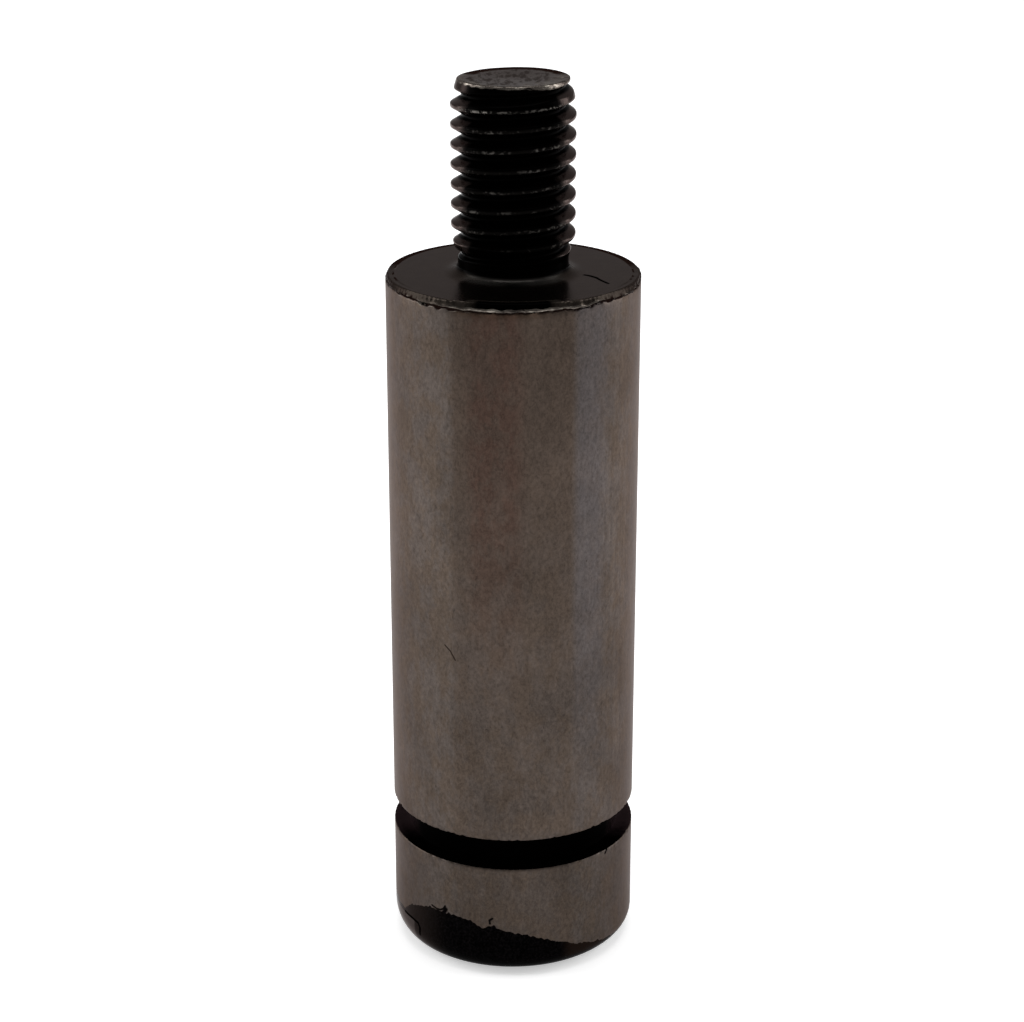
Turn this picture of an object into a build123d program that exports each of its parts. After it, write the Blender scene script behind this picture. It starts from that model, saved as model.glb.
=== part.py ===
"""A turned and ground steel pin that stands on its foot, with a threaded stud on top.

The whole pin is one solid about the Z axis: a foot with a rounded edge, a ring groove,
a ground barrel with a flat shoulder, and a screw-cut stud that rises from the shoulder.
Sizes are in millimetres, and Z = 0 is the face the pin stands on.
"""

import os
from math import atan, ceil, cos, degrees, radians, tan

from build123d import *

# Barrel and foot, ground to one diameter
body_diameter = 16.2
barrel_length = 36.2  # shoulder down to the upper edge of the ring groove
shoulder_bevel_depth = 0.15  # how far the shoulder's rim lies inside the barrel
shoulder_bevel_length = 0.35  # how far down the barrel the bevel reaches
foot_length = 8.0  # lower edge of the ring groove down to the standing face
foot_corner_radius = 1.7

# Ring groove, cut square
groove_width = 2.1
groove_diameter = 14.0

# Stud and its M8 coarse thread
stud_length = 12.3
thread_diameter = 7.84  # over the crests
thread_pitch = 1.25
thread_angle = 60.0  # between the two flanks
thread_depth = 0.685  # crest to root
thread_root_flat = 0.21
lead_in_depth = 0.42  # how far the rim of the end face lies inside the crests
lead_in_length = 1.5
tip_dish_depth = 0.15  # the end face is slightly cupped
tip_rim_width = 0.45

# Neck under the thread
neck_depth = 0.42  # how far the neck lies inside the crests
neck_length = 1.0
neck_taper_length = 1.4  # from the neck out to the full thread
neck_fillet = 0.4

# How the thread stands round the stud, and how the cutter leaves the work
crest_height = 9.98  # of one crest above the shoulder, on the +X side
runout_turn = 0.5  # part of a turn in which the groove fades out
runout_lift = 0.45  # how far the cutter is drawn back in that part of a turn
cutter_clearance = 0.15  # how far the cutter stands outside the crests
turn_gap = 0.02  # least part of the pitch left between one turn of the cutter and the next

body_radius = body_diameter / 2
groove_radius = groove_diameter / 2
thread_radius = thread_diameter / 2
root_radius = thread_radius - thread_depth
neck_radius = thread_radius - neck_depth
tip_radius = thread_radius - lead_in_depth

groove_bottom_z = foot_length
groove_top_z = groove_bottom_z + groove_width
shoulder_z = groove_top_z + barrel_length
taper_z = shoulder_z + neck_length
full_thread_z = taper_z + neck_taper_length
tip_z = shoulder_z + stud_length
lead_in_z = tip_z - lead_in_length

# The groove starts on the +X side, in the lowest turn that clears the shoulder, fades in
# over the run-out, and goes on up past the tip
runout_z = shoulder_z + (crest_height + thread_pitch / 2) % thread_pitch
full_depth_z = runout_z + runout_turn * thread_pitch
full_depth_angle = 360 * runout_turn
turn_count = ceil((tip_z - full_depth_z) / thread_pitch) + 1
mouth_widening = 2 * tan(radians(thread_angle / 2))
widest_reach = ((1 - turn_gap) * thread_pitch - thread_root_flat) / mouth_widening
cutter_reach = min(thread_depth + cutter_clearance, widest_reach)
cutter_mouth = thread_root_flat + mouth_widening * cutter_reach
runout_cone = -degrees(atan(runout_lift / (runout_turn * thread_pitch)))


def cutter_section(path):
    """V-shaped tool with a flat nose, square to the start of its path."""
    start = path @ 0
    square_to_path = Plane(start, x_dir=(start.X, start.Y, 0), z_dir=path % 0)
    with BuildSketch(square_to_path) as section:
        with BuildLine():
            Polyline(
                (0, -thread_root_flat / 2),
                (cutter_reach, -cutter_mouth / 2),
                (cutter_reach, cutter_mouth / 2),
                (0, thread_root_flat / 2),
                (0, -thread_root_flat / 2),
            )
        make_face()
    return section.sketch


# One full turn of the thread groove, and the part turn that fades in under it
with BuildPart() as groove_turn:
    with BuildLine():
        turn_path = Helix(pitch=thread_pitch, height=thread_pitch, radius=root_radius)
    sweep(cutter_section(turn_path), path=turn_path, is_frenet=True)

with BuildPart() as groove_runout:
    with BuildLine():
        # Helix measures its pitch along the slope of the cone
        runout_path = Helix(
            pitch=thread_pitch / cos(radians(runout_cone)),
            height=runout_turn * thread_pitch,
            radius=root_radius + runout_lift,
            cone_angle=runout_cone,
        )
    sweep(cutter_section(runout_path), path=runout_path, is_frenet=True)

with BuildPart() as threaded_pin:
    # Half section of the blank, on the side of the axis where X is positive
    with BuildSketch(Plane.XZ):
        with BuildLine():
            Polyline(
                (0, 0),
                (body_radius, 0),
                (body_radius, groove_bottom_z),
                (groove_radius, groove_bottom_z),
                (groove_radius, groove_top_z),
                (body_radius, groove_top_z),
                (body_radius, shoulder_z - shoulder_bevel_length),
                (body_radius - shoulder_bevel_depth, shoulder_z),
                (neck_radius, shoulder_z),
                (neck_radius, taper_z),
                (thread_radius, full_thread_z),
                (thread_radius, lead_in_z),
                (tip_radius, tip_z),
                (tip_radius - tip_rim_width, tip_z),
                (0, tip_z - tip_dish_depth),
                (0, 0),
            )
        make_face()
    revolve(axis=Axis.Z)

    # Rounded foot, and the small fillet that the tool nose leaves under the neck
    foot_edge = threaded_pin.edges().group_by(Axis.Z)[0]
    fillet(foot_edge, foot_corner_radius)
    shoulder_edges = threaded_pin.edges().filter_by_position(Axis.Z, shoulder_z, shoulder_z)
    fillet(shoulder_edges.sort_by(SortBy.RADIUS)[0], neck_fillet)

    # Right-hand thread, cut into the blank turn by turn
    with Locations((0, 0, runout_z)):
        add(groove_runout.part, mode=Mode.SUBTRACT)
    for turn in range(turn_count):
        with Locations((0, 0, full_depth_z + turn * thread_pitch)):
            add(groove_turn.part, rotation=(0, 0, full_depth_angle), mode=Mode.SUBTRACT)

threaded_pin.part.label = "threaded_pin"

os.makedirs("parts", exist_ok=True)
export_step(threaded_pin.part, "parts/threaded_pin.step")
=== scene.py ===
"""Steel pin with a threaded stud, standing on its foot on a pale floor in soft studio light.

The pin is one closed surface made of rings about the Z axis. It keeps the sizes of the
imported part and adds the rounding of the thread, the torn rim, the wear and the finish.
Lengths are millimetres unless a name ends in _m, and Z = 0 is the floor. The front of the
pin is the -Y side, and angles from it are positive towards +X, the right.
"""

import bpy
import numpy as np
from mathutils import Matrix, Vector


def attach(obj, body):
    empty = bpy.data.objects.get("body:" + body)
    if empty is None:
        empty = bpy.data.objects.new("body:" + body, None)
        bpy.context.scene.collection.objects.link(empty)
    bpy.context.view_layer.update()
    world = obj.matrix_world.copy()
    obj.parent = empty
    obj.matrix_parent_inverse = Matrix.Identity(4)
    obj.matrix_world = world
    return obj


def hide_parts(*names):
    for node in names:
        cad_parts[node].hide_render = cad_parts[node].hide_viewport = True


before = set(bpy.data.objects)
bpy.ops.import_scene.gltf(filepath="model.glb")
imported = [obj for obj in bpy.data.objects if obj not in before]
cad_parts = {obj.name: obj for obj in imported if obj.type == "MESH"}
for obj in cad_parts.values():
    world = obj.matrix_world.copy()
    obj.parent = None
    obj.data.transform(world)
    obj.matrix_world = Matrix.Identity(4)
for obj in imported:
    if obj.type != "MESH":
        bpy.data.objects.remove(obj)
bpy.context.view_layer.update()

MM = 0.001
TURN = 2 * np.pi

# Barrel, foot and ring groove
body_radius = 8.1
foot_height = 8.0
foot_corner = 1.7
foot_corner_sway = 0.22  # how much the foot's edge changes from one side to the other
groove_radius = 7.0
groove_top = 10.1
groove_fillet = 0.08
shoulder_height = 46.3
bevel_depth = 0.15

# Stud
tip_height = 58.6
crest_radius = 3.94
root_radius = 3.235
neck_radius = 3.5
tip_radius = 3.5
neck_top = 47.3
full_thread = 48.7
lead_in_start = 57.1
pitch = 1.25
flank_angle = 30.0
root_half_flat = 0.075
runout_height = 46.905
runout_lift = 0.45
cove_reach = 1.0
cove_height = 0.5
tip_dish = 0.15
outer_band = (3.42, 3.54)  # radii over which the trait `outer` rises
outer_start = 47.7
wide_crest_band = (56.9, 57.1)  # heights over which the rubbed part of the crest widens

# Rounding left by the tools
crest_rounding = 0.02
root_rounding = 0.08
nose_rounding = 0.01

# Columns round the pin: the stud, the barrel, and the finely torn edges
stud_columns = 192
body_columns = 384
edge_columns = 768

# Rings of the flat faces: radii, radii with their columns, and parts of the radius
standing_face_rings = (2.0, 4.0, 5.6)
shoulder_face_rings = ((7.0, body_columns), (5.5, body_columns), (4.8, stud_columns))
end_face_parts = (0.6, 0.4, 0.2)

# Rim of the shoulder, torn by the grinding wheel. Places are radians from the front
rim_height = 46.0
rim_front_dip = 0.25
rim_lean = 0.08
rim_step_radius = 7.62
rim_step_drop = 0.03
lip_height = 0.16
lip_half_arc = 0.64
tear_size = 0.035
teeth_size = 0.010
rim_clearance = 0.04
notch_place, notch_depth = 0.54, 0.12
sag_place, sag_depth = 1.2, 0.22
spur_place, gape_place, bar_place, glint_place = 0.95, 0.68, 0.9, -1.68

# Ragged lip round the end face
tip_torn_line = 58.44
tip_torn_dip = 0.16

# Height of the wheel's edge on the foot: (degrees from the front, height)
wheel_edge_marks = (
    (-180, 2.2), (-95, 2.5), (-79, 2.6), (-66, 2.5), (-57, 3.4), (-43, 4.05), (-33, 4.1),
    (-20, 3.95), (-15, 3.5), (-10, 3.75), (-4, 3.45), (10, 2.95), (25, 2.15), (34, 1.75),
    (47, 1.3), (58, 1.05), (75, 1.0), (110, 1.3), (180, 2.2),
)  # fmt: skip

# Single marks, as lines of points with a half width. On the barrel and the foot a point is
# (way round from the front, height), and on the shoulder's face it is (X, Y)
scratch_mark = (((-4.6, 23.48), (-4.2, 23.15), (-3.85, 22.6)), 0.07)
gouge_marks = (
    (((4.50, -1.12), (4.79, -1.32), (5.17, -1.77)), 0.22),
    (((5.17, -1.77), (5.47, -2.43), (5.88, -3.17)), 0.17),
)
ridge_mark = (((-9.2, 2.3), (-8.1, 2.32), (-7.4, 2.25), (-7.2, 1.94), (-7.27, 1.4)), 0.13)
skin_spurs = (
    (((-5.94, 4.22), (-5.56, 4.11), (-5.2, 4.13), (-4.95, 4.3), (-4.8, 4.53)), 0.10),
    (((-4.86, 4.12), (-4.75, 4.32)), 0.22),
    (((-1.39, 4.3), (-1.58, 4.15), (-1.55, 3.91)), 0.10),
    (((6.95, 7.75), (7.12, 8.0)), 0.12),
)

# Trait `ground` well inside the wheel's cut and well off it. Near the edge it is a height
CUT = 3
UNCUT = -3

# Strips down the pin (starts, full, still full, ends), in degrees from the front
# Strip of painted shade down the middle of the front
middle_shade_strip = (-31.0, -25.0, 25.0, 31.0)
brown_strip = (-24.0, -15.0, -1.0, 8.0)
blue_strip = (26.0, 31.0, 38.0, 52.0)
lined_strip = (38.0, 46.0, 66.0, 74.0)
stain_strip = (-32.0, -20.0, 8.0, 20.0)
# Strip of the painted reflection low on the foot's left
edge_sheen_strip = (-100.0, -90.0, -56.0, -55.0)
rust_strip = (22.0, 30.0, 46.0, 60.0)
strip_sway = 5.0
aside_sway = 16.0

# Belts round the pin, the same in height
rust_belt = (0.7, 1.1, 2.2, 2.3)
groove_belt = (foot_height - 0.1, foot_height, groove_top, groove_top + 0.1)
# Heights of the painted light on the barrel
painted_light_belt = (20.0, 28.0, 33.0, 44.0)
bevel_belt = tuple(shoulder_height - fall for fall in (0.7, 0.6, 0.08, 0.04))
# Heights of the painted highlight on the cove
cove_highlight_belt = tuple(shoulder_height + rise for rise in (0.01, 0.08, 0.4, 0.6))

# How strong the finish is
brown_strength, blue_strength, stain_strength = 0.85, 0.6, 0.4
steel_level = 0.88
cloud_contrast, mottle_contrast, sand_contrast = 0.6, 1.25, 1.35
skin_roughness, steel_roughness, satin_roughness = 0.2, 0.42, 0.04
skin_ior = 1.04
relief_strength = 0.12
relief_depth_m = 0.00002

# Studio
floor_half_width_m = 3.0
floor_glow = 0.45
sky_strength = 0.3
lamp_aim_m = (0, 0, 0.03)
camera_place_m = (-0.0000802, -0.15269, 0.086714)
camera_tilt = 69.648

# Colours, in linear light
BLACK_SKIN = (0.0003, 0.0002, 0.0002)
# Colours of the painted sheen of the black skin at the sides and at the groove's ends
SIDE_SHEEN_SKIN = (0.048, 0.037, 0.034)
GROOVE_END_SHEEN = (0.052, 0.032, 0.036)
SATIN_DARK, SATIN_PALE = (0.028, 0.023, 0.019), (0.042, 0.034, 0.028)
# Colours of the painted highlight on the cove
COVE_HIGHLIGHT_DARK, COVE_HIGHLIGHT_PALE = (0.036, 0.033, 0.030), (0.115, 0.107, 0.098)
END_DARK, END_PALE = (0.040, 0.031, 0.027), (0.072, 0.060, 0.053)
END_BLOTCH = (0.010, 0.007, 0.006)
CREST_FLECK = (0.125, 0.116, 0.106)
# Colours of the painted sheen and painted reflection on the foot's left
FOOT_SIDE_SHEEN_SKIN, EDGE_SHEEN = (0.022, 0.015, 0.012), (0.06, 0.052, 0.048)
RUST, GRAIN, DUST = (0.020, 0.012, 0.008), (0.012, 0.010, 0.011), (0.10, 0.10, 0.10)
STEEL_GREY, STEEL_WARM = (0.085, 0.070, 0.062), (0.084, 0.064, 0.051)
# Colour of the painted shade down the middle of the front
STEEL_MIDDLE_SHADE = (0.061, 0.045, 0.036)
STEEL_BROWN, STEEL_BLUE = (0.062, 0.038, 0.030), (0.075, 0.068, 0.071)
STAIN, PIT = (0.060, 0.036, 0.022), (0.018, 0.012, 0.009)
LIP_GREY, LIP_BRIGHT = (0.130, 0.112, 0.098), (0.330, 0.300, 0.260)
# Dark of the cracks and of the painted shade on the rim and the tip
CRACK_AND_SHADE = (0.010, 0.005, 0.004)
SHEEN_TINT = (0.66, 0.61, 0.60, 1.0)
WHITE = (1.0, 1.0, 1.0, 1.0)
FLOOR_PAINT = (0.9, 0.9, 0.9, 1.0)


def angles(columns):
    """Angles of the ring's columns, evenly spaced, in radians counter-clockwise from +X."""
    return np.arange(columns) * (TURN / columns)


def from_front(theta):
    """Angle from the front of the pin in radians, from -pi to pi."""
    return (theta + np.pi / 2 + np.pi) % TURN - np.pi


def waves(theta, seed, low, high, count=14):
    """Random closed wave round the pin: a sum of `count` sines of random phase whose cycle
    counts lie between `low` and `high`, scaled so that its values stay near -1 to 1."""
    rng = np.random.default_rng(seed)
    cycles = rng.integers(low, high + 1, count)
    phases = rng.uniform(0, TURN, count)
    sizes = rng.uniform(0.5, 1.0, count)
    sines = np.sin(cycles[:, None] * theta[None, :] + phases[:, None])
    total = (sizes[:, None] * sines).sum(0)
    return total / (1.6 * np.sqrt((sizes**2).sum() / 2))


def patches(theta, seed, low, high, level, size, top=1):
    """Random patches round the pin: level + size * waves, held between 0 and top."""
    return np.clip(level + size * waves(theta, seed, low, high), 0, top)


def ramp(value, low, high):
    """Straight rise from 0 at low to 1 at high, level outside. low may lie above high."""
    return np.clip((value - low) / (high - low), 0, 1)


def bell(value, middle, half_width, power=2):
    """1 in the middle and 0 far from it: exp(-((value - middle) / half_width)^power)."""
    return np.exp(-(((value - middle) / half_width) ** power))


def soft_min(a, b, k):
    """Smaller of a and b with a rounded corner: ((a + b) - sqrt((a - b)^2 + k^2)) / 2."""
    return ((a + b) - np.sqrt((a - b) ** 2 + k * k)) / 2


def thread_surface(theta, z):
    """Radius of the stud at angle theta and height z.

    The blank is the least of the crest, the taper above the neck and the lead-in cone. The
    groove is a 60 degree V with a flat root of half width root_half_flat that climbs one
    pitch per turn; in its first half turn it is drawn back by runout_lift, fading to zero.
    Its nose is rounded by sqrt(x^2 + nose_rounding^2) in place of x."""
    up_taper = (z - neck_top) / (full_thread - neck_top)
    taper = neck_radius + (crest_radius - neck_radius) * up_taper
    up_lead_in = (z - lead_in_start) / (tip_height - lead_in_start)
    lead_in = crest_radius - (crest_radius - tip_radius) * up_lead_in
    blank = soft_min(crest_radius, np.maximum(taper, neck_radius), crest_rounding)
    blank = soft_min(blank, lead_in, crest_rounding)
    turns = np.round((z - runout_height) / pitch - theta / TURN)
    swept = theta + TURN * turns
    off_centre = np.abs(z - runout_height - pitch * swept / TURN)
    lift = runout_lift * np.clip(1 - swept / np.pi, 0, 1)
    off_flat = np.maximum(off_centre - root_half_flat, 0)
    flank = np.sqrt(off_flat**2 + nose_rounding**2) / np.tan(np.radians(flank_angle))
    groove = root_radius + lift + flank - nose_rounding
    not_yet_cut = 99.0
    groove = np.where(swept < 0, not_yet_cut, groove)
    return soft_min(blank, groove, root_rounding)


class Rings:
    """Rings of points from the foot's centre to the tip's centre, joined to one skin."""

    def __init__(self):
        self.rings = []
        self.traits = []

    def add(self, radius, z, columns, **traits):
        """Add a ring. Radius, height and traits are numbers or have one value per column."""
        theta = angles(columns)
        radius = np.broadcast_to(np.asarray(radius, float), (columns,))
        z = np.broadcast_to(np.asarray(z, float), (columns,))
        self.rings.append(np.stack([radius * np.cos(theta), radius * np.sin(theta), z], 1))
        self.traits.append(
            {k: np.broadcast_to(np.asarray(v, float), (columns,)) for k, v in traits.items()}
        )

    def faces(self):
        """Quads and triangles. Rings of equal columns are joined by quads, rings whose columns
        double or halve by fans of three triangles, and the two centres by triangles."""
        sizes = [len(r) for r in self.rings]
        first = np.concatenate([[0], np.cumsum(sizes)])
        quads, triangles = [], []
        for i in range(len(sizes) - 1):
            a, b = first[i], first[i + 1]
            n, m = sizes[i], sizes[i + 1]
            k = np.arange(min(n, m))
            nxt = (k + 1) % len(k)
            if n == m:
                quads.append(np.stack([a + k, a + nxt, b + nxt, b + k], 1))
            elif m == 2 * n:
                left, mid, right = b + 2 * k, b + 2 * k + 1, b + (2 * k + 2) % m
                triangles += [
                    np.stack([a + k, mid, left], 1),
                    np.stack([a + k, a + nxt, mid], 1),
                    np.stack([a + nxt, right, mid], 1),
                ]
            elif n == 2 * m:
                left, mid, right = a + 2 * k, a + 2 * k + 1, a + (2 * k + 2) % n
                triangles += [
                    np.stack([left, mid, b + k], 1),
                    np.stack([mid, b + nxt, b + k], 1),
                    np.stack([mid, right, b + nxt], 1),
                ]
            else:
                raise ValueError("neighbouring rings must have equal, double or half columns")
        foot, tip = first[-1], first[-1] + 1
        k = np.arange(sizes[0])
        triangles.append(np.stack([np.full_like(k, foot), (k + 1) % sizes[0], k], 1))
        k = np.arange(sizes[-1])
        top = first[-2] + k
        next_top = first[-2] + (k + 1) % sizes[-1]
        triangles.append(np.stack([top, next_top, np.full_like(k, tip)], 1))
        return np.concatenate(quads), np.concatenate(triangles)

    def mesh(self, name, foot_centre, tip_centre, trait_names):
        """One watertight smooth mesh with the named traits as point attributes."""
        points = np.concatenate(self.rings + [np.array([foot_centre, tip_centre], float)]) * MM
        quads, triangles = self.faces()
        corners = np.concatenate([quads.ravel(), triangles.ravel()]).astype(np.int32)
        quad_starts = 4 * np.arange(len(quads))
        triangle_starts = 4 * len(quads) + 3 * np.arange(len(triangles))
        starts = np.concatenate([quad_starts, triangle_starts]).astype(np.int32)
        mesh = bpy.data.meshes.new(name)
        mesh.vertices.add(len(points))
        mesh.vertices.foreach_set("co", points.astype(np.float32).ravel())
        mesh.loops.add(len(corners))
        mesh.loops.foreach_set("vertex_index", corners)
        mesh.polygons.add(len(starts))
        mesh.polygons.foreach_set("loop_start", starts)
        mesh.update(calc_edges=True)
        mesh.validate()
        mesh.polygons.foreach_set("use_smooth", np.ones(len(starts), bool))
        for trait in trait_names:
            values = [t.get(trait, np.zeros(len(r))) for t, r in zip(self.traits, self.rings)]
            values = np.concatenate(values + [np.zeros(2)]).astype(np.float32)
            layer = mesh.attributes.new(trait, "FLOAT", "POINT")
            layer.data.foreach_set("value", values)
        return mesh


def wheel_edge(theta):
    """Height of the ragged line on the foot down to which the wheel has cut the skin away:
    straight runs between wheel_edge_marks, with coarse and fine tears added."""
    places, heights = np.array(wheel_edge_marks).T
    line = np.interp(np.degrees(from_front(theta)), places, heights)
    return line + 0.05 * waves(theta, 5, 20, 60) + 0.04 * waves(theta, 6, 60, 160)


def foot_corner_shape(theta):
    """Reach inwards and height of the foot's rounded edge: low and deep on the right, high
    and shallow on the left, by the sine of the angle from the front."""
    sway = foot_corner_sway * np.sin(from_front(theta))
    return foot_corner + sway, foot_corner - sway


def add_foot(pin):
    """Standing face, rounded edge, and the land, whose trait `ground` is the height above the
    wheel's edge. The edge is a quarter of an ellipse: reach * sin, height * (1 - cos)."""
    theta = angles(edge_columns)
    edge = wheel_edge(theta)
    reach, height = foot_corner_shape(theta)
    for radius in standing_face_rings:
        pin.add(radius, 0.0, body_columns, ground=UNCUT)
    for step in np.radians(np.arange(0, 91, 9)):
        z = height * (1 - np.cos(step))
        pin.add(body_radius - reach * (1 - np.sin(step)), z, edge_columns, ground=z - edge)
    above_edge, land_rings = 5.0, 11
    for part in np.linspace(0, 1, land_rings + 1)[1:]:
        z = height + (above_edge - height) * part
        pin.add(body_radius, z, edge_columns, ground=z - edge)
    pin.add(body_radius, above_edge + 0.8, body_columns, ground=CUT)


def add_groove_edge(pin, z, side, seed):
    """Sharp edge of the ring groove with small nicks. side is +1 where the land lies above
    the edge and -1 where it lies below."""
    nick = patches(angles(body_columns), seed, 30, 110, 0, 1) ** 2
    # Radius, distance from the edge, how far a nick moves the ring, trait `ground`
    rings = (
        (body_radius, 0.30, 0.0, CUT),
        (body_radius, 0.05, 0.12, 0.5),
        (body_radius - 0.02 - 0.05 * nick, 0.02, 0.03, 0.05),
        (body_radius - 0.08 - 0.05 * nick, 0.0, 0.0, -0.3),
        (body_radius - 0.4, 0.0, 0.0, UNCUT),
    )
    for radius, rise, slump, ground in rings[::-side]:
        pin.add(radius, z + side * (rise + slump * nick), body_columns, ground=ground)


def add_groove(pin):
    """Ring groove, cut square, with a small fillet at its floor."""
    add_groove_edge(pin, foot_height, -1, 21)
    corner = groove_radius + groove_fillet
    pin.add(corner, foot_height, body_columns, ground=UNCUT)
    middle = 0.5 * (foot_height + groove_top)
    for z in (foot_height + groove_fillet, middle, groove_top - groove_fillet):
        pin.add(groove_radius, z, body_columns, ground=UNCUT)
    pin.add(corner, groove_top, body_columns, ground=UNCUT)
    add_groove_edge(pin, groove_top, 1, 22)


def add_barrel(pin):
    """Ground barrel between the groove's upper edge and the torn rim."""
    for z in np.linspace(groove_top + 0.8, shoulder_height - 1.4, 12):
        pin.add(body_radius, z, body_columns, ground=CUT)


def rim_line(theta):
    """Height of the crack under the torn lip: level, but lower on the front by the cube of
    the cosine, a little lower to the left of it, and with one notch and one sag on its right."""
    front = from_front(theta)
    notch = notch_depth * bell(front, notch_place, 0.1)
    sag = sag_depth * bell(front, sag_place, 0.35, 4)
    dip = rim_front_dip * np.maximum(np.cos(front), 0) ** 3
    return rim_height - dip + rim_lean * np.sin(front) - notch - sag


class Rim:
    """Forms and marks of the torn rim, each an array round the pin. `front` is the angle from
    the front in radians, and `aside` the same to either side."""

    def __init__(self):
        theta = angles(edge_columns)
        front = from_front(theta)
        aside = np.abs(front)
        self.teeth = teeth_size * waves(theta, 32, 60, 160)
        self.low = rim_line(theta) + tear_size * waves(theta, 31, 18, 70)

        # Lip of smeared metal on the front, weaker on the left, and spurs at its two ends
        on_front = bell(front, 0, lip_half_arc, 6)
        spur = patches(theta, 33, 25, 60, -0.4, 1, top=0.5) * bell(aside, spur_place, 0.25)
        spur = spur * np.where(front < 0, 0.35, 1.0)
        lip = np.clip(on_front * (0.85 + 0.3 * waves(theta, 37, 8, 40)) + 2 * spur, 0, 1)
        self.lip = lip * np.where(front < -0.35, 0.6, 1.0)
        swell = patches(theta, 35, 20, 60, 0.6, 0.5)
        self.rise = lip_height * (0.55 + 0.45 * swell) * on_front + 0.03 + 0.2 * spur
        self.top = np.minimum(self.low + 0.05 + self.rise, shoulder_height - rim_clearance)

        # Crack under it with painted shade, widest to either side of the front, and dark bars and
        # bright bits
        self.crack = patches(theta, 34, 10, 50, 0.55 + 0.25 * on_front, 0.9)
        open_parts = patches(theta, 38, 20, 70, 0.6, 1, top=1.5)
        self.gape = 0.02 + 0.12 * bell(aside, gape_place, 0.2) * open_parts
        left = ramp(-front, 0.25, 0.45) * ramp(-front, 1.35, 1.05)
        self.dark = np.maximum(self.crack, left * patches(theta, 39, 12, 50, 0.95, 1.3))
        self.bits = left * patches(theta, 40, 20, 70, 0, 1.6)
        self.bars = patches(theta, 44, 40, 110, -0.5, 1.8) * bell(aside, bar_place, 0.17, 4)

        # Satin skin, black only on the front, and the broken step behind
        self.bare = ramp(aside, 0.28, 0.40)
        self.bevel = self.bare * (1.0 - 0.2 * ramp(aside, 0.6, 0.9))
        # far, behind and step mark where painted shade darkens the bevel's sides and back and the
        # step's edges
        self.far = ramp(aside, 0.9, 1.5)
        self.behind = ramp(aside, 1.4, 1.8)
        self.face = shoulder_height - rim_step_drop * ramp(aside, 0.9, 1.2)
        self.broken = patches(theta, 36, 8, 60, 0.5, 1.2)
        self.step = np.maximum(self.broken * ramp(aside, 1.0, 1.3), self.behind)
        self.ragged = rim_step_radius + 0.4 * self.teeth - 0.12 * self.behind
        # Painted glint on the step's edge on the left, laid on through the trait lip
        self.glint = bell(front, glint_place, 0.05)

    def barred(self, crack):
        """Crack with the dark bars laid over it."""
        return np.maximum(crack, self.bars)


def add_torn_edge(pin, rim):
    """From the barrel up: the ground surface, the broken crack with painted shade in it, the lip
    and the bevel, darkened to the sides by painted shade.
    """
    low, teeth, gape, rise, top = rim.low, rim.teeth, rim.gape, rim.rise, rim.top
    lip, crack, dark, bits, far, bevel = rim.lip, rim.crack, rim.dark, rim.bits, rim.far, rim.bevel
    # Inset, height, and the traits ground, lip, crack and satin
    for inset, z, ground, lips, cracks_and_shade, satin in (
        (0.0, low - 0.55, CUT, 0, 0, 0),
        (0.0, low - 0.12 - gape + 0.5 * teeth, 0.3, 0, 0, 0),
        (0.02 * crack, low - 0.07 - gape + teeth, 0.06, bits, 0.1 * crack, 0),
        (0.06 * crack, low - 0.04 - gape + teeth, 0.0, 0.4 * bits, dark, 0),
        (0.06 * crack, low + 0.03 + teeth, -0.02, 0, dark, 0),
        (0.02 * crack, low + 0.05 + teeth, -0.06, lip, rim.barred(0.3 * dark), bevel),
        (0.01 * crack, low + 0.05 + 0.4 * (rise + teeth), -0.1, lip, rim.barred(0.4 * far), bevel),
        (0.03, top - 0.01, -0.2, lip, rim.barred(0.7 * far), bevel),
        (0.05, top + 0.015, -0.3, 0, rim.barred(0.8 * far), bevel),
    ):
        traits = {"ground": ground, "lip": lips, "crack": cracks_and_shade, "satin": satin}
        pin.add(body_radius - inset, z, edge_columns, **traits)


def add_rim_step(pin, rim):
    """Top of the bevel and the shallow broken step in the shoulder's face, with painted shade on
    the bevel's sides and back and on the step's edges, and a painted glint on the step.
    """
    face, ragged, step, glint = rim.face, rim.ragged, rim.step, rim.glint
    outside = np.maximum(0.5 * rim.far * rim.broken, rim.behind)
    half_up = 0.5 * (rim.top + 0.015 + face)
    # Radius, height, and the traits crack, lip and satin
    for radius, z, cracks_and_shade, lips, satin in (
        (body_radius - 0.10 + rim.teeth, half_up, 0.9 * rim.far, 0, rim.bevel),
        (body_radius - bevel_depth + rim.teeth, face, 0.9 * rim.far, 0, rim.bevel),
        (body_radius - 0.22, face, outside, 0, rim.bare),
        (ragged + 0.08, face, outside, 0, rim.bare),
        (ragged + 0.05, face, step, 0, rim.bare),
        (ragged - 0.05, shoulder_height, step, glint, rim.bare),
        (ragged - 0.08, shoulder_height, 0, glint, rim.bare),
        (ragged - 0.12, shoulder_height, 0, 0, rim.bare),
    ):
        pin.add(radius, z, edge_columns, ground=-1, satin=satin, crack=cracks_and_shade, lip=lips)
    pin.add(rim_step_radius - 0.3, shoulder_height, edge_columns, ground=UNCUT, satin=1)


def add_neck(pin):
    """Shoulder's face and the cove under the neck: a quarter of an ellipse, cove_reach wide
    and cove_height high, whose satin skin ends part of the way up and is thinned towards the
    sides, a painted shade that dims the cove's glow there."""
    for radius, columns in shoulder_face_rings:
        pin.add(radius, shoulder_height, columns, ground=UNCUT, satin=1)
    aside = np.abs(np.sin(from_front(angles(stud_columns))))
    for step in np.radians(np.arange(0, 91, 10)):
        # Satin thinned at the sides, higher up most: painted shade
        pin.add(
            neck_radius + cove_reach * (1 - np.sin(step)),
            shoulder_height + cove_height * (1 - np.cos(step)),
            stud_columns,
            ground=UNCUT,
            satin=ramp(step, 1.3, 0.9) * (1 - 0.5 * aside * np.sin(step)),
        )


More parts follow.
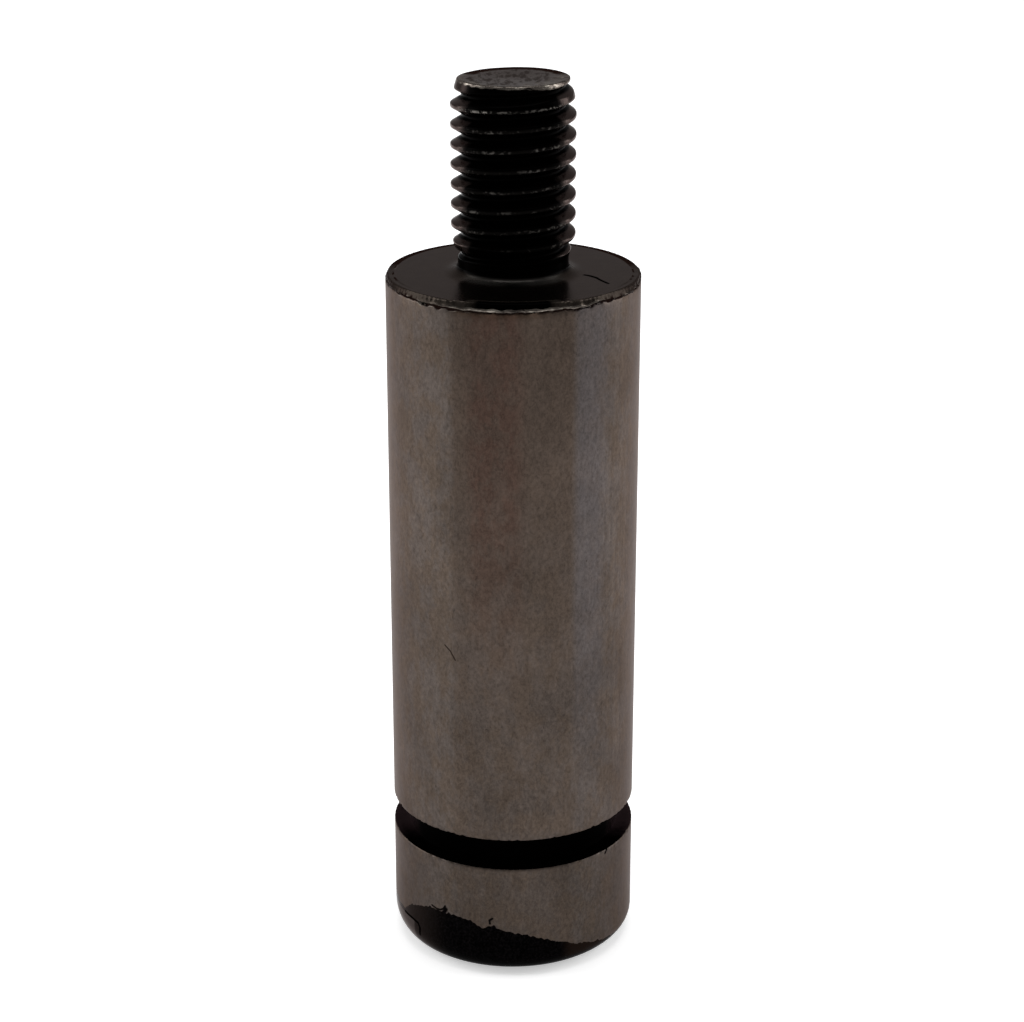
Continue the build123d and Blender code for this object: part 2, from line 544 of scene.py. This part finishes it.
def add_thread(pin):
    """Stud from the cove to the tip. The trait `crest` is 1 along the lower edge of the
    crest, `outer` is 1 on the thread outside its root, and `lip` is 1 on the torn edge of the
    tip, whose lower line is ragged and dips on the right."""
    theta = angles(stud_columns)
    dip = tip_torn_dip * bell(from_front(theta), 0.8, 0.4)
    torn = tip_torn_line - dip + 0.035 * waves(theta, 41, 6, 40)
    ring_step, probe = 0.05, 0.06
    bottom = shoulder_height + cove_height + ring_step
    for z in np.arange(bottom, tip_height - ring_step, ring_step):
        height = np.full(stud_columns, z)
        radius = thread_surface(theta, height)
        above, below = thread_surface(theta, height + probe), thread_surface(theta, height - probe)
        crest_band = 0.10 + 0.14 * ramp(z, *wide_crest_band)
        crest = np.clip((radius - crest_radius + crest_band) / 0.06, 0, 1)
        pin.add(
            radius,
            height,
            stud_columns,
            ground=UNCUT,
            crest=crest * np.clip((above - below) / 0.04 + 0.7, 0, 1),
            outer=ramp(radius, *outer_band) * (z > outer_start),
            lip=np.clip((z - torn) / 0.05 + 0.5, 0, 1),
        )


def add_tip(pin):
    """Cupped end face with a ragged raised lip round it, broad on the right and gone at the
    back, where the edge and a band inside it are painted dark as shade."""
    theta = angles(stud_columns)
    front = from_front(theta)
    rim = thread_surface(theta, np.full(stud_columns, tip_height))
    ragged = 0.03 * waves(theta, 42, 10, 60)
    back = ramp(np.abs(front), 1.6, 2.0)
    right = ramp(front, -0.1, 0.3) * (1 - back)
    lip = patches(theta, 43, 6, 40, 0.9, 0.6) * (1 - back)
    drop = 0.02 * (1 - lip)
    # Inset from the rim, fall below the tip, and the traits lip and crack (painted shade at the
    # back)
    for inset, fall, lips, cracks_and_shade in (
        (0.01 - 0.3 * ragged, 0.04, lip, 0.7 * back),
        (0.08 - 0.3 * ragged, 0.0, lip, back),
        (0.18 - ragged, 0.01, 0.6 * lip, back),
        (0.6 - 2 * ragged, 0.04, 0.6 * lip * right, back),
        (0.85 - 2 * ragged, 0.045, 0.5 * lip * right, 0),
    ):
        z = tip_height - fall - drop
        pin.add(rim - inset, z, stud_columns, ground=UNCUT, lip=lips, crack=cracks_and_shade)
    cup_edge = 0.03
    for part in end_face_parts:
        z = tip_height - cup_edge - (tip_dish - cup_edge) * (1 - part)
        pin.add(rim * part, z, stud_columns, ground=UNCUT)


def build_pin():
    """Pin's skin, ring by ring from the middle of the foot up to the middle of the tip."""
    pin = Rings()
    add_foot(pin)
    add_groove(pin)
    add_barrel(pin)
    rim = Rim()
    add_torn_edge(pin, rim)
    add_rim_step(pin, rim)
    add_neck(pin)
    add_thread(pin)
    add_tip(pin)
    traits = ("ground", "lip", "crack", "satin", "crest", "outer")
    return pin.mesh("pin_skin", (0, 0, 0), (0, 0, tip_height - tip_dish), traits)


class Nodes:
    """Short hand for laying out nodes. Where a value is asked for, a socket or a number does."""

    def __init__(self, owner):
        owner.use_nodes = True
        self.tree = owner.node_tree
        self.tree.nodes.clear()

    def feed(self, socket, value):
        if isinstance(value, bpy.types.NodeSocket):
            self.tree.links.new(value, socket)
        else:
            socket.default_value = value

    def new(self, kind, inputs=None, **settings):
        node = self.tree.nodes.new(kind)
        for name, value in settings.items():
            setattr(node, name, value)
        for name, value in (inputs or {}).items():
            self.feed(node.inputs[name], value)
        return node

    def math(self, operation, a, b=0.0):
        node = self.new("ShaderNodeMath", operation=operation)
        self.feed(node.inputs[0], a)
        self.feed(node.inputs[1], b)
        return node.outputs[0]

    def plus(self, a, b):
        return self.math("ADD", a, b)

    def minus(self, a, b):
        return self.math("SUBTRACT", a, b)

    def times(self, a, b):
        return self.math("MULTIPLY", a, b)

    def most(self, first, *others):
        for other in others:
            first = self.math("MAXIMUM", first, other)
        return first

    def line(self, value, slope, start):
        """value * slope + start"""
        return self.plus(self.times(value, slope), start)

    def swing(self, value, size):
        """(value - 0.5) * size, for a noise that swings round 0.5"""
        return self.times(self.minus(value, 0.5), size)

    def rest(self, mask, part=1.0):
        """What a mask leaves over: 1 - mask * part"""
        return self.minus(1.0, self.times(mask, part))

    def step(self, value, low, high):
        """Smooth rise from 0 at low to 1 at high. low may lie above high."""
        inputs = {"Value": value, "From Min": low, "From Max": high}
        node = self.new("ShaderNodeMapRange", inputs, interpolation_type="SMOOTHSTEP")
        return node.outputs["Result"]

    def between(self, value, a, b, c, d):
        """Rises from 0 to 1 between a and b, and falls back to 0 between c and d."""
        return self.times(self.step(value, a, b), self.step(value, d, c))

    def vector(self, operation, a, b, output="Vector"):
        node = self.new("ShaderNodeVectorMath", operation=operation)
        self.feed(node.inputs[0], a)
        self.feed(node.inputs[1], b)
        return node.outputs[output]

    def combine(self, x, y, z):
        return self.new("ShaderNodeCombineXYZ", {"X": x, "Y": y, "Z": z}).outputs[0]

    def scaled(self, colour, factor):
        return self.vector("MULTIPLY", colour, self.combine(factor, factor, factor))

    def mix(self, part, a, b):
        """Colour a, going over to colour b by `part`."""
        node = self.new("ShaderNodeMix", data_type="RGBA")
        part_socket, a_socket, b_socket = node.inputs[0], node.inputs[6], node.inputs[7]
        self.feed(part_socket, part)
        for socket, colour in ((a_socket, a), (b_socket, b)):
            self.feed(socket, (*colour, 1.0) if isinstance(colour, tuple) else colour)
        return node.outputs[2]

    def noise(self, vector, scale, detail, roughness, distortion=0.0):
        inputs = {"Vector": vector, "Scale": scale, "Detail": detail, "Roughness": roughness}
        inputs["Distortion"] = distortion
        return self.new("ShaderNodeTexNoise", inputs).outputs["Fac"]

    def trait(self, name):
        return self.new("ShaderNodeAttribute", attribute_name=name).outputs["Fac"]


class Place:
    """Where a point of the pin lies, in millimetres and in degrees from the front, and two
    noises that several parts of the finish share."""

    def __init__(self, n):
        self.n = n
        point = n.new("ShaderNodeTexCoord").outputs["Object"]
        self.mm = n.vector("MULTIPLY", point, (1 / MM, 1 / MM, 1 / MM))
        x, y, self.z = n.new("ShaderNodeSeparateXYZ", {"Vector": self.mm}).outputs
        self.radius = n.math("SQRT", n.plus(n.times(x, x), n.times(y, y)))
        self.angle = n.math("ARCTAN2", x, n.times(y, -1.0))
        self.degrees = n.times(self.angle, 180 / np.pi)
        self.unrolled = n.combine(n.times(self.angle, body_radius), self.z, 0.0)
        self.flat = n.combine(x, y, 0.0)
        self.dim = n.noise(self.mm, scale=1.1, detail=5.0, roughness=0.65)
        drawn_up = self.stretched(1.0, 1.0, 0.5)
        self.smudge = n.noise(drawn_up, scale=1.6, detail=5.0, roughness=0.7)
        swayed = n.plus(self.degrees, n.swing(self.smudge, aside_sway))
        self.aside = n.math("ABSOLUTE", swayed)

    def stretched(self, x, y, z):
        """Millimetres times a factor each way. Below 1 it draws a noise out that way."""
        return self.n.vector("MULTIPLY", self.mm, (x, y, z))


def line_mark(n, place, points, half_width):
    """1 on a thin line through the points and 0 beyond half_width from it. The distance to
    each straight run is |p - a - t (b - a)| with t = clamp((p - a).(b - a) / |b - a|^2)."""
    distances = []
    for a, b in zip(points[:-1], points[1:]):
        a, b = np.array([*a, 0.0]), np.array([*b, 0.0])
        run = b - a
        off = n.vector("SUBTRACT", place, tuple(a))
        along = n.vector("DOT_PRODUCT", off, tuple(run / (run @ run)), output="Value")
        along = n.math("MINIMUM", n.math("MAXIMUM", along, 0.0), 1.0)
        nearest = n.vector("MULTIPLY", n.combine(along, along, 0.0), tuple(run))
        distances.append(n.vector("DISTANCE", off, nearest, output="Value"))
    distance = distances[0]
    for other in distances[1:]:
        distance = n.math("MINIMUM", distance, other)
    return n.step(distance, half_width, 0.4 * half_width)


def ground_steel(n, at, mottle):
    """Colour of the ground steel: a painted shade darker down the middle of the front, strips of
    browner and bluer steel down the barrel, a painted shade by height, a cloudy and finely
    speckled shade over them, then a stain, a scratch and a few pits."""
    drawn_out = at.stretched(1.0, 1.0, 0.6)
    elsewhere = n.vector("ADD", drawn_out, (31.0, 7.0, 3.0))
    tint = n.noise(elsewhere, scale=0.8, detail=4.0, roughness=0.7)
    around = n.plus(at.degrees, n.swing(tint, strip_sway))
    # Painted shade: the middle of the front is darker, more so higher up
    middle = n.line(n.step(at.z, 14.0, 40.0), 0.55, 0.35)
    middle = n.times(n.between(around, *middle_shade_strip), middle)
    brown = n.times(n.between(around, *brown_strip), n.step(at.z, 18.0, 36.0))
    brown = n.times(brown, n.line(n.step(tint, 0.40, 0.60), 0.6, 0.4))
    blue = n.times(n.between(around, *blue_strip), n.step(at.z, 6.0, 30.0))
    steel = n.mix(n.step(tint, 0.38, 0.62), STEEL_GREY, STEEL_WARM)
    steel = n.mix(middle, steel, STEEL_MIDDLE_SHADE)
    steel = n.mix(n.times(brown, brown_strength), steel, STEEL_BROWN)
    steel = n.mix(n.times(blue, blue_strength), steel, STEEL_BLUE)

    cloud = n.noise(drawn_out, scale=0.30, detail=2.0, roughness=0.5)
    shade = n.plus(n.swing(cloud, cloud_contrast), steel_level)
    # Painted light and shade by height: paler in a belt up the barrel, darker from the groove down
    shade = n.plus(shade, n.times(n.between(at.z, *painted_light_belt), 0.13))
    shade = n.times(shade, n.rest(n.step(at.z, 11.0, foot_height), 0.20))
    sand = n.noise(at.stretched(1.0, 1.0, 0.75), scale=5.0, detail=5.0, roughness=0.75)
    speckle = n.plus(n.swing(mottle, mottle_contrast), 1.0)
    speckle = n.plus(speckle, n.swing(sand, sand_contrast))
    lines = n.noise(at.stretched(1.0, 1.0, 0.04), scale=3.5, detail=3.0, roughness=0.6)
    lined = n.line(n.between(at.degrees, *lined_strip), 0.45, 0.12)
    speckle = n.plus(speckle, n.swing(lines, lined))
    steel = n.scaled(steel, n.times(shade, speckle))

    at_rim = n.step(at.z, shoulder_height - 1.1, shoulder_height - 0.6)
    stain = n.times(n.between(at.degrees, *stain_strip), at_rim)
    steel = n.mix(n.times(stain, stain_strength), steel, STAIN)
    pits = n.step(n.noise(drawn_out, scale=2.6, detail=1.0, roughness=0.4), 0.79, 0.83)
    scratch = line_mark(n, at.unrolled, *scratch_mark)
    return n.mix(n.most(scratch, n.times(pits, 0.5)), steel, PIT)


def black_skin(n, at):
    """Black skin, with a painted brown-grey sheen on the outer turns at the sides and at the two
    ends of the groove that show. Gives its colour, where it shines, and where the groove is."""
    # Painted sheen: the black skin turns brown-grey at the sides, where it is seen edge-on
    stud_side_sheen = n.times(n.trait("outer"), n.step(at.aside, 45.0, 60.0))
    stud_side_sheen = n.times(stud_side_sheen, n.rest(n.step(at.z, 57.6, 58.0), 0.4))
    in_groove = n.between(at.z, *groove_belt)
    groove_end = n.times(n.step(at.aside, 60.0, 85.0), in_groove)
    sheen = n.most(stud_side_sheen, n.times(groove_end, 0.35))
    sheen = n.times(sheen, n.line(at.smudge, 0.9, 0.5))
    sheen_colour = n.mix(in_groove, SIDE_SHEEN_SKIN, GROOVE_END_SHEEN)
    return n.mix(sheen, BLACK_SKIN, sheen_colour), sheen, in_groove


def satin_skin(n, at, turned):
    """Satin dark skin of the shoulder, finely turned, with a painted highlight on the front of the
    cove, scuffs and painted shade on the bevel, and a black gouge. Gives its colour and where
    the gouge is."""
    colour = n.scaled(n.mix(turned, SATIN_DARK, SATIN_PALE), n.line(at.dim, 1.2, 0.4))
    # Painted highlight: the turned cove is paler on its front
    cove_highlight = n.times(n.between(at.z, *cove_highlight_belt), n.step(at.aside, 62.0, 40.0))
    colour = n.mix(cove_highlight, colour, n.mix(at.dim, COVE_HIGHLIGHT_DARK, COVE_HIGHLIGHT_PALE))
    # Painted shade with scuffs in it darkens the bevel, least at the front's middle and sides
    scuffs_and_shade = n.noise(at.stretched(1.0, 1.0, 0.5), scale=4.0, detail=3.0, roughness=0.6)
    scuffs_and_shade = n.line(n.step(scuffs_and_shade, 0.35, 0.65), 0.35, 0.5)
    less_shade = n.plus(n.step(at.aside, 55.0, 65.0), n.step(at.aside, 42.0, 34.0))
    scuffs_and_shade = n.times(scuffs_and_shade, n.line(less_shade, 0.4, 1.0))
    colour = n.mix(n.between(at.z, *bevel_belt), colour, n.scaled(colour, scuffs_and_shade))
    gouge = n.most(*[line_mark(n, at.flat, *mark) for mark in gouge_marks])
    return n.mix(gouge, colour, BLACK_SKIN), gouge


def end_face_skin(n, at, skin):
    """Wiped and blotched end face over the skin. Gives the colour, where it shines and where
    it is blotched."""
    face = n.step(at.z, tip_height - 0.24, tip_height - 0.20)
    face = n.times(face, n.step(at.radius, tip_radius - 0.10, tip_radius - 0.16))
    skin = n.mix(face, skin, n.mix(n.step(at.smudge, 0.30, 0.70), END_DARK, END_PALE))
    wiped = n.noise(at.stretched(1.3, 0.5, 1.0), scale=1.4, detail=4.0, roughness=0.7)
    blotch = n.times(face, n.step(wiped, 0.58, 0.42))
    skin = n.mix(n.times(blotch, 0.8), skin, END_BLOTCH)
    return skin, n.minus(face, n.times(blotch, 0.75)), blotch


def crest_flecks(n, at):
    """Bright flecks where the thread's crests are rubbed, most on the top turns and off the
    middle of the front. A faint line stays all along the crest."""
    upper = n.times(n.step(at.z, 56.4, 56.9), 0.5)
    patch = n.line(n.step(at.dim, 0.46, 0.58), 0.5, upper)
    rubs = n.plus(n.noise(at.mm, scale=4.5, detail=1.0, roughness=0.5), n.times(upper, 0.1))
    fleck = n.times(n.step(rubs, 0.48, 0.64), n.math("MINIMUM", patch, 1.0))
    fleck = n.times(fleck, n.line(n.step(at.aside, 4.0, 24.0), 0.55, 0.45))
    return n.times(n.trait("crest"), n.line(fleck, 0.97, 0.03))


def foot_skin(n, at, skin):
    """Skin below the wheel's edge: a painted sheen on the left, a grey painted reflection low on
    its edge and a dark ridge, rusty on the right, finely grained with the grain fading to a
    painted shade towards the floor, and dusty at the floor. Gives the colour, where it shines
    and where the ridge is."""
    # Painted sheen on the foot's left side, and a grey painted reflection low on its edge
    foot_side_sheen = n.times(n.step(at.degrees, -30.0, -52.0), n.step(at.z, 4.6, 4.4))
    edge_sheen = n.times(n.between(at.degrees, *edge_sheen_strip), n.step(at.z, 2.3, 2.2))
    rust = n.times(n.between(at.degrees, *rust_strip), n.between(at.z, *rust_belt))
    grain = n.step(n.noise(at.mm, scale=8.0, detail=2.0, roughness=0.6), 0.42, 0.68)
    grain = n.times(grain, n.step(at.z, 4.6, 4.5))
    # The grain fades towards the floor, a painted shade that darkens the bottom of the foot
    grain = n.times(grain, n.line(n.step(at.z, 0.2, 1.8), 0.28, 0.12))
    ridge = line_mark(n, at.unrolled, *ridge_mark)
    dust = n.step(n.noise(at.mm, scale=3.3, detail=2.0, roughness=0.5), 0.72, 0.80)
    dust = n.times(dust, n.step(at.z, 1.2, 0.8))
    for mask, colour in (
        (n.times(foot_side_sheen, 0.3), FOOT_SIDE_SHEEN_SKIN),
        (n.times(edge_sheen, 0.6), EDGE_SHEEN),
        (n.times(rust, 0.6), RUST),
        (grain, GRAIN),
        (ridge, BLACK_SKIN),
        (n.times(dust, 0.3), DUST),
    ):
        skin = n.mix(mask, skin, colour)
    return skin, n.most(n.times(edge_sheen, 0.7), n.times(foot_side_sheen, 0.35)), ridge


def wheel_cut(n, at):
    """1 where the wheel has cut to bright steel, with a finely uneven edge and a few spurs of
    skin left in it."""
    wobble = n.swing(n.noise(at.mm, scale=6.0, detail=3.0, roughness=0.6), 0.12)
    ground = n.step(n.plus(n.trait("ground"), wobble), -0.015, 0.015)
    for spur in skin_spurs:
        ground = n.times(ground, n.rest(line_mark(n, at.unrolled, *spur)))
    return ground


def torn_metal(n, at, colour, metal):
    """Streaky bright metal of the torn lips with a painted glint among them, and dark cracks and
    painted shade, over the colour and metal so far. Gives both, and where the cracks and
    painted shade are."""
    streaks = n.noise(at.stretched(1.0, 1.0, 2.5), scale=2.2, detail=3.0, roughness=0.6)
    lip = n.times(n.trait("lip"), n.step(streaks, 0.25, 0.50))
    colour = n.mix(lip, colour, n.mix(n.step(streaks, 0.50, 0.72), LIP_GREY, LIP_BRIGHT))
    crack = n.trait("crack")
    # Dark cracks and painted shade
    colour = n.mix(crack, colour, CRACK_AND_SHADE)
    return colour, n.times(n.most(metal, lip), n.rest(crack)), crack


def steel_finish():
    """Ground steel where the wheel has cut, satin dark skin on the shoulder, and black skin
    on the stud, in the groove and under the foot. Hollows lose their gloss too."""
    material = bpy.data.materials.new("ground_and_blackened_steel")
    n = Nodes(material)
    at = Place(n)
    drawn_out = at.stretched(1.0, 1.0, 0.6)
    mottle = n.noise(drawn_out, scale=1.7, detail=6.0, roughness=0.82, distortion=1.2)
    rings = n.combine(at.radius, n.times(at.angle, 0.3), 0.0)
    turned = n.noise(rings, scale=9.0, detail=2.0, roughness=0.5)

    skin, sheen, in_groove = black_skin(n, at)
    satin = n.trait("satin")
    satin_colour, gouge = satin_skin(n, at, turned)
    skin = n.mix(satin, skin, satin_colour)
    skin, wiped, blotch = end_face_skin(n, at, skin)
    crest = crest_flecks(n, at)
    skin = n.mix(crest, skin, CREST_FLECK)
    skin, foot_shine, ridge = foot_skin(n, at, skin)
    marks = n.most(ridge, gouge)
    metal = n.times(n.most(satin, wiped, crest, sheen, foot_shine), n.rest(marks))

    ground = wheel_cut(n, at)
    colour = n.mix(ground, skin, ground_steel(n, at, mottle))
    colour, metal, crack = torn_metal(n, at, colour, n.most(metal, ground))

    hollow = n.most(crack, marks, n.times(in_groove, 0.8), blotch)
    rough = n.line(ground, steel_roughness - skin_roughness, skin_roughness)
    relief = n.minus(n.times(mottle, 0.5), ground)
    relief = n.plus(relief, n.times(satin, turned))
    bump = {"Height": relief, "Strength": relief_strength, "Distance": relief_depth_m}
    inputs = {
        "Base Color": colour,
        "Metallic": metal,
        "Roughness": n.plus(rough, n.times(satin, satin_roughness)),
        "IOR": skin_ior,
        "Specular IOR Level": n.times(n.rest(hollow), 0.5),
        "Specular Tint": SHEEN_TINT,
        "Normal": n.new("ShaderNodeBump", bump).outputs[0],
    }
    shader = n.new("ShaderNodeBsdfPrincipled", inputs)
    n.new("ShaderNodeOutputMaterial", {"Surface": shader.outputs[0]})
    return material


def pale_floor():
    """Large white floor that keeps a soft shadow of the pin. It glows a little where it is
    seen or mirrored, so that it shows white without more light on the pin."""
    half = floor_half_width_m
    mesh = bpy.data.meshes.new("floor")
    corners = [(-half, -half, 0), (half, -half, 0), (half, half, 0), (-half, half, 0)]
    mesh.from_pydata(corners, [], [(0, 1, 2, 3)])
    material = bpy.data.materials.new("pale_floor")
    n = Nodes(material)
    paint = n.new("ShaderNodeBsdfDiffuse", {"Color": FLOOR_PAINT})
    path = n.new("ShaderNodeLightPath").outputs
    seen = n.most(path["Is Camera Ray"], path["Is Glossy Ray"])
    glow = {"Color": WHITE, "Strength": n.times(seen, floor_glow)}
    both = n.new("ShaderNodeAddShader")
    n.feed(both.inputs[0], paint.outputs[0])
    n.feed(both.inputs[1], n.new("ShaderNodeEmission", glow).outputs[0])
    n.new("ShaderNodeOutputMaterial", {"Surface": both.outputs[0]})
    floor = bpy.data.objects.new("floor", mesh)
    floor.data.materials.append(material)
    bpy.context.scene.collection.objects.link(floor)


def soft_lamp(name, place_m, size_m, watts):
    """Rectangular soft box at place_m, turned to the middle of the pin."""
    light = bpy.data.lights.new(name, "AREA")
    light.shape = "RECTANGLE"
    light.size, light.size_y = size_m
    light.energy = watts
    lamp = bpy.data.objects.new(name, light)
    lamp.location = place_m
    aim = Vector(lamp_aim_m) - Vector(place_m)
    lamp.rotation_euler = aim.to_track_quat("-Z", "Y").to_euler()
    bpy.context.scene.collection.objects.link(lamp)


def studio():
    """White surroundings, a soft box on each side and one above."""
    world = bpy.data.worlds.new("studio")
    bpy.context.scene.world = world
    n = Nodes(world)
    sky = n.new("ShaderNodeBackground", {"Color": WHITE, "Strength": sky_strength})
    n.new("ShaderNodeOutputWorld", {"Surface": sky.outputs[0]})
    soft_lamp("left_box", (-0.5, 0.1, 0.25), (0.4, 0.5), 1.9)
    soft_lamp("right_box", (0.5, 0.1, 0.25), (0.4, 0.5), 1.9)
    soft_lamp("top_box", (0.0, 0.1, 0.7), (0.5, 0.5), 2.4)


def camera():
    """Camera a little above the pin, looking slightly down on it."""
    data = bpy.data.cameras.new("camera")
    data.lens = 87.43
    data.sensor_width = 36.0
    data.sensor_fit = "HORIZONTAL"
    data.clip_start = 0.005
    data.clip_end = 20.0
    eye = bpy.data.objects.new("camera", data)
    eye.location = camera_place_m
    eye.rotation_euler = (np.radians(camera_tilt), 0.0, 0.0)
    bpy.context.scene.collection.objects.link(eye)
    bpy.context.scene.camera = eye


pin = bpy.data.objects.new("pin", build_pin())
bpy.context.scene.collection.objects.link(pin)
pin.data.materials.append(steel_finish())
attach(pin, "root")
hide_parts("threaded_pin")
pale_floor()
studio()
camera()
bpy.context.scene.view_settings.view_transform = "Standard"
